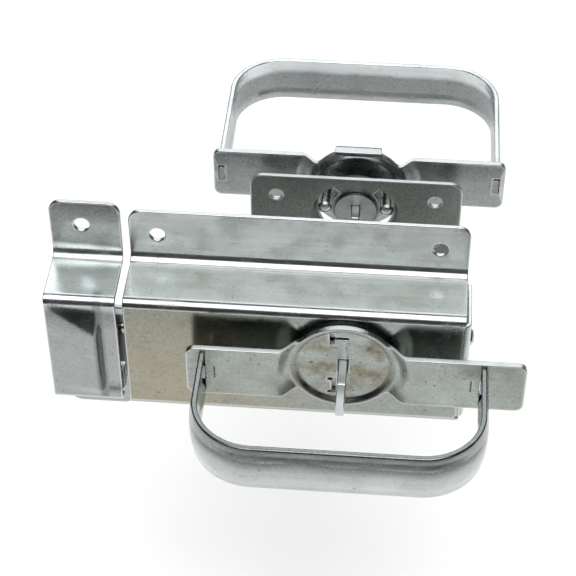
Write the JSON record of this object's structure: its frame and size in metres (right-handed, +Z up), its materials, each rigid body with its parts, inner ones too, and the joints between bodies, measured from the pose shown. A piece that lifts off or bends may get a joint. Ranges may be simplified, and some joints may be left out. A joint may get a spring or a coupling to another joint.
{
  "type": "gravity gate latch",
  "caption": "Surface gate latch with a dropping latch bar, a pressed strike, a flat spindle through the gate and a U-shaped pull handle on each side.",
  "frame": {"origin": "on the back face of the case's upper flange, midway between its two screw holes", "axes": "+X from the strike towards the case's closed end, +Y from the case into the gate, +Z up"},
  "size_m": [0.218, 0.2853, 0.129],
  "materials": {
    "case_zinc": "bright zinc plate on pressed steel, lightly mottled",
    "strike_zinc": "bright zinc plate on pressed steel, lightly mottled",
    "handle_zinc": "zinc plate with handling stains round the disc",
    "grip_zinc": "bright rolled zinc-plated strip",
    "rear_plate_zinc": "dull zinc plate",
    "spindle_zinc": "bright zinc-plated square bar",
    "inner_zinc": "plain zinc-plated steel",
    "rivet_steel": "plated rivet steel"
  },
  "bodies": {
    "root": {"case": "case_zinc", "case_back_plate": "inner_zinc", "case_end_rivet": "rivet_steel", "latch_pivot_pin": "rivet_steel", "latch_pivot_spacer": "inner_zinc", "strike": "strike_zinc", "rear_plate": "rear_plate_zinc"},
    "front_handle": {"front_handle_bar": "handle_zinc", "front_grip": "grip_zinc", "front_hub_sleeve": "inner_zinc", "spindle": "spindle_zinc", "lift_cam": "inner_zinc"},
    "rear_handle": {"rear_handle_bar": "handle_zinc", "rear_grip": "grip_zinc", "rear_hub_sleeve": "inner_zinc", "rear_stop_rivet_left": "rivet_steel", "rear_stop_rivet_right": "rivet_steel"},
    "latch_bar": {"latch_bar": "inner_zinc", "latch_nose_plate": "inner_zinc", "latch_nose_rivet": "rivet_steel", "latch_hook_rivet": "rivet_steel"}
  },
  "joints": [
    {"name": "front_handle_turn", "type": "hinge", "parent": "root", "child": "front_handle", "pos_m": [0.023, -0.033, -0.0436], "axis": [0, 1, 0], "range_deg": [0, 35]},
    {"name": "rear_handle_turn", "type": "hinge", "parent": "root", "child": "rear_handle", "pos_m": [0.023, 0.09, -0.0436], "axis": [0, 1, 0], "range_deg": [0, 35]},
    {"name": "latch_lift", "type": "hinge", "parent": "root", "child": "latch_bar", "pos_m": [0.065, -0.0205, -0.0461], "axis": [0, 1, 0], "range_deg": [0, 4.9]}
  ],
  "couplings": [
    {"joint": "rear_handle_turn", "follows": "front_handle_turn", "ratio": 1},
    {"joint": "latch_lift", "follows": "front_handle_turn", "ratio": 0.14}
  ]
}
